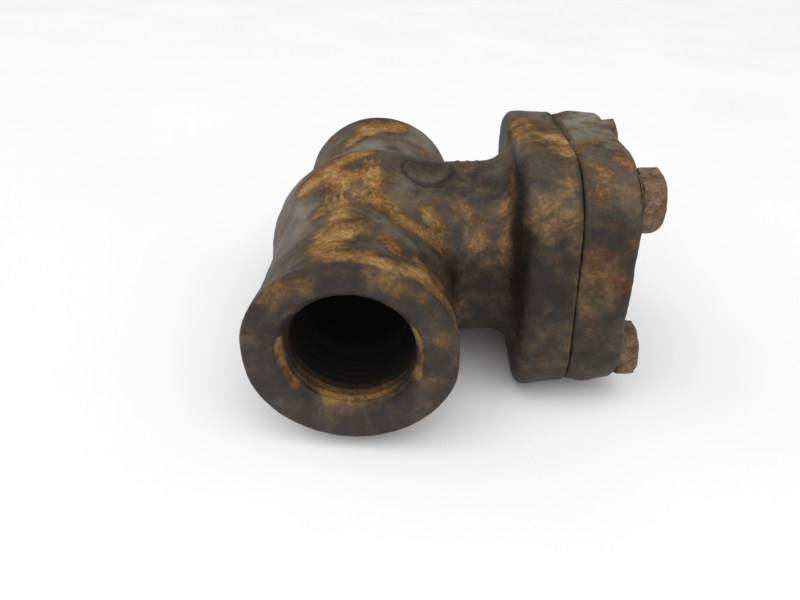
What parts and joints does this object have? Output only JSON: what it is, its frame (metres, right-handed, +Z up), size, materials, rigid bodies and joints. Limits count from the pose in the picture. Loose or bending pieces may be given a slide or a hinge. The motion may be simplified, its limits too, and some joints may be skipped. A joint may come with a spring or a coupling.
{
  "type": "steam trap",
  "caption": "In-line bimetallic steam trap: threaded run, side neck with a square flange, bolted cover, inner disc stack, strainer and valve.",
  "frame": {"origin": "centre of the inlet's face on the run's axis", "axes": "+Y along the run from inlet to outlet, +X along the neck towards the cover, +Z up"},
  "size_m": [0.1018, 0.1065, 0.0678],
  "materials": {
    "cast_body": "rough forged steel with dark scale and patches of orange rust",
    "cast_cover": "rough forged steel with reddish brown rust",
    "bolt_steel": "plain steel bolts with brown rust",
    "gasket_winding": "wound stainless strip with graphite filler",
    "gasket_ring": "flat steel ring",
    "seat_steel": "turned stainless steel",
    "seat_gasket": "soft copper ring, dulled",
    "screen_sheet": "perforated stainless sheet",
    "screen_rings": "plain stainless rings",
    "washer_steel": "flat stainless washers",
    "bimetal": "rolled bimetal strip, straw tinted",
    "spring_wire": "drawn spring wire",
    "stem_nuts": "turned nuts",
    "stem_steel": "ground stainless rod",
    "plug_steel": "hardened stainless steel"
  },
  "bodies": {
    "housing": {"body": "cast_body", "cover": "cast_cover", "cover_bolts": "bolt_steel", "gasket_winding": "gasket_winding", "gasket_outer_ring": "gasket_ring", "valve_seat": "seat_steel", "seat_gasket": "seat_gasket", "strainer_screen": "screen_sheet", "screen_bottom_ring": "screen_rings", "screen_top_ring": "screen_rings", "stack_base_washer": "washer_steel"},
    "valve": {"valve_stem": "stem_steel", "valve_plug": "plug_steel", "plug_pin": "stem_steel", "adjusting_nut": "stem_nuts", "lock_nut": "stem_nuts", "spring_cap": "washer_steel", "overload_spring": "spring_wire", "stack_top_washer": "washer_steel"},
    "pair_1": {"bimetal_pair_1": "bimetal"},
    "pair_2": {"bimetal_pair_2": "bimetal"},
    "pair_3": {"bimetal_pair_3": "bimetal"},
    "pair_4": {"bimetal_pair_4": "bimetal"},
    "pair_5": {"bimetal_pair_5": "bimetal"},
    "pair_6": {"bimetal_pair_6": "bimetal"},
    "pair_7": {"bimetal_pair_7": "bimetal"},
    "pair_8": {"bimetal_pair_8": "bimetal"}
  },
  "joints": [
    {"name": "stem_slide", "type": "slide", "parent": "housing", "child": "valve", "axis": [1, 0, 0], "range_m": [0, 0.0025]},
    {"name": "pair_1_lift", "type": "slide", "parent": "housing", "child": "pair_1", "axis": [1, 0, 0], "range_m": [0, 0.0003125]},
    {"name": "pair_2_lift", "type": "slide", "parent": "housing", "child": "pair_2", "axis": [1, 0, 0], "range_m": [0, 0.000625]},
    {"name": "pair_3_lift", "type": "slide", "parent": "housing", "child": "pair_3", "axis": [1, 0, 0], "range_m": [0, 0.0009375]},
    {"name": "pair_4_lift", "type": "slide", "parent": "housing", "child": "pair_4", "axis": [1, 0, 0], "range_m": [0, 0.00125]},
    {"name": "pair_5_lift", "type": "slide", "parent": "housing", "child": "pair_5", "axis": [1, 0, 0], "range_m": [0, 0.00156]},
    {"name": "pair_6_lift", "type": "slide", "parent": "housing", "child": "pair_6", "axis": [1, 0, 0], "range_m": [0, 0.00187]},
    {"name": "pair_7_lift", "type": "slide", "parent": "housing", "child": "pair_7", "axis": [1, 0, 0], "range_m": [0, 0.00219]},
    {"name": "pair_8_lift", "type": "slide", "parent": "housing", "child": "pair_8", "axis": [1, 0, 0], "range_m": [0, 0.0025]}
  ],
  "couplings": [
    {"joint": "pair_1_lift", "follows": "stem_slide", "ratio": 0.125},
    {"joint": "pair_2_lift", "follows": "stem_slide", "ratio": 0.25},
    {"joint": "pair_3_lift", "follows": "stem_slide", "ratio": 0.375},
    {"joint": "pair_4_lift", "follows": "stem_slide", "ratio": 0.5},
    {"joint": "pair_5_lift", "follows": "stem_slide", "ratio": 0.625},
    {"joint": "pair_6_lift", "follows": "stem_slide", "ratio": 0.75},
    {"joint": "pair_7_lift", "follows": "stem_slide", "ratio": 0.875},
    {"joint": "pair_8_lift", "follows": "stem_slide", "ratio": 1}
  ]
}
